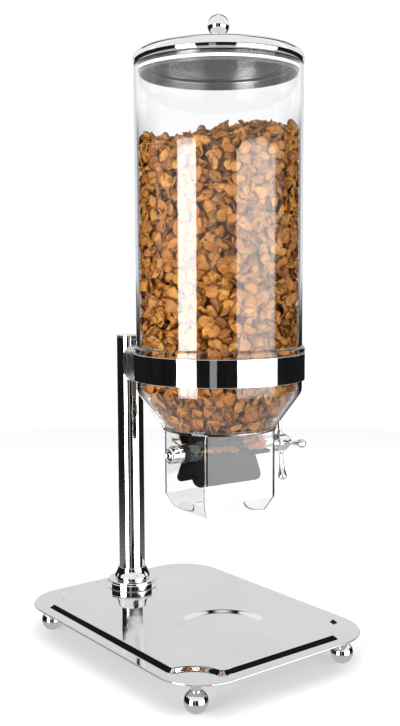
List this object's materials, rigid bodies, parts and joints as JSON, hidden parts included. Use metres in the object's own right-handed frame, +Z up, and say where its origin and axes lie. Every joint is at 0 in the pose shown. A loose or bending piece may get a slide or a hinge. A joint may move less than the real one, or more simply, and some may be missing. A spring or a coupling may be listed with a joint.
{
  "type": "cereal dispenser",
  "caption": "Free-standing dry food dispenser: clear upright container in a ring on a post, paddle wheel outlet with a cross handle, and a footed metal tray.",
  "frame": {"origin": "centre of the base on the surface that the four ball feet stand on", "axes": "+Z up along the container, -Y towards the user and the bowl recess, +Y towards the post, +X towards the turning handle, whose shaft stands 4 degrees off X"},
  "size_m": [0.264, 0.35, 0.705],
  "materials": {
    "polished_steel": "mirror polished stainless steel",
    "satin_steel": "satin stainless steel",
    "clear_acrylic": "clear glossy acrylic",
    "black_rubber": "smooth matt black rubber",
    "pale_silicone": "smooth milky silicone rubber",
    "black_nylon": "moulded black nylon"
  },
  "bodies": {
    "stand": {"base_tray": "polished_steel", "foot_ball_front_left": "polished_steel", "foot_stud_front_left": "satin_steel", "foot_ball_front_right": "polished_steel", "foot_stud_front_right": "satin_steel", "foot_ball_rear_left": "polished_steel", "foot_stud_rear_left": "satin_steel", "foot_ball_rear_right": "polished_steel", "foot_stud_rear_right": "satin_steel", "post_flange": "polished_steel", "post_collar": "polished_steel", "post_tube": "polished_steel", "post_cap": "polished_steel", "post_plug": "satin_steel", "post_washer": "satin_steel", "post_bolt": "satin_steel", "ring_arm": "satin_steel", "arm_bolt": "satin_steel", "arm_set_screw": "satin_steel", "collar_ring": "polished_steel", "ring_liner": "black_rubber"},
    "container": {"container_tube": "clear_acrylic", "hopper_funnel": "clear_acrylic", "outlet_chute": "clear_acrylic", "shaft_bush_left": "black_nylon", "shaft_bush_right": "black_nylon"},
    "lid": {"lid_shell": "polished_steel", "lid_plug": "satin_steel", "lid_seal": "pale_silicone", "lid_knob": "polished_steel", "knob_nut": "satin_steel"},
    "wheel": {"drive_shaft": "satin_steel", "wheel_core": "black_nylon", "paddle_wheel": "black_rubber", "core_collar_left": "black_nylon", "core_collar_right": "black_nylon", "shaft_washer": "satin_steel", "cap_nut": "polished_steel", "handle_sleeve": "polished_steel", "handle_hub": "polished_steel", "handle_arm_lower": "polished_steel", "handle_arm_rear": "polished_steel", "handle_arm_upper": "polished_steel", "handle_arm_front": "polished_steel", "handle_set_screw": "satin_steel"}
  },
  "joints": [
    {"name": "container_turn", "type": "hinge", "parent": "stand", "child": "container", "pos_m": [0, -0.055, 0.33], "axis": [0, 0, 1], "continuous": true},
    {"name": "lid_lift", "type": "slide", "parent": "container", "child": "lid", "axis": [0, 0, 1], "range_m": [0, 0.12]},
    {"name": "wheel_turn", "type": "hinge", "parent": "container", "child": "wheel", "pos_m": [0, -0.055, 0.239], "axis": [0.9976, -0.0698, 0], "continuous": true}
  ]
}
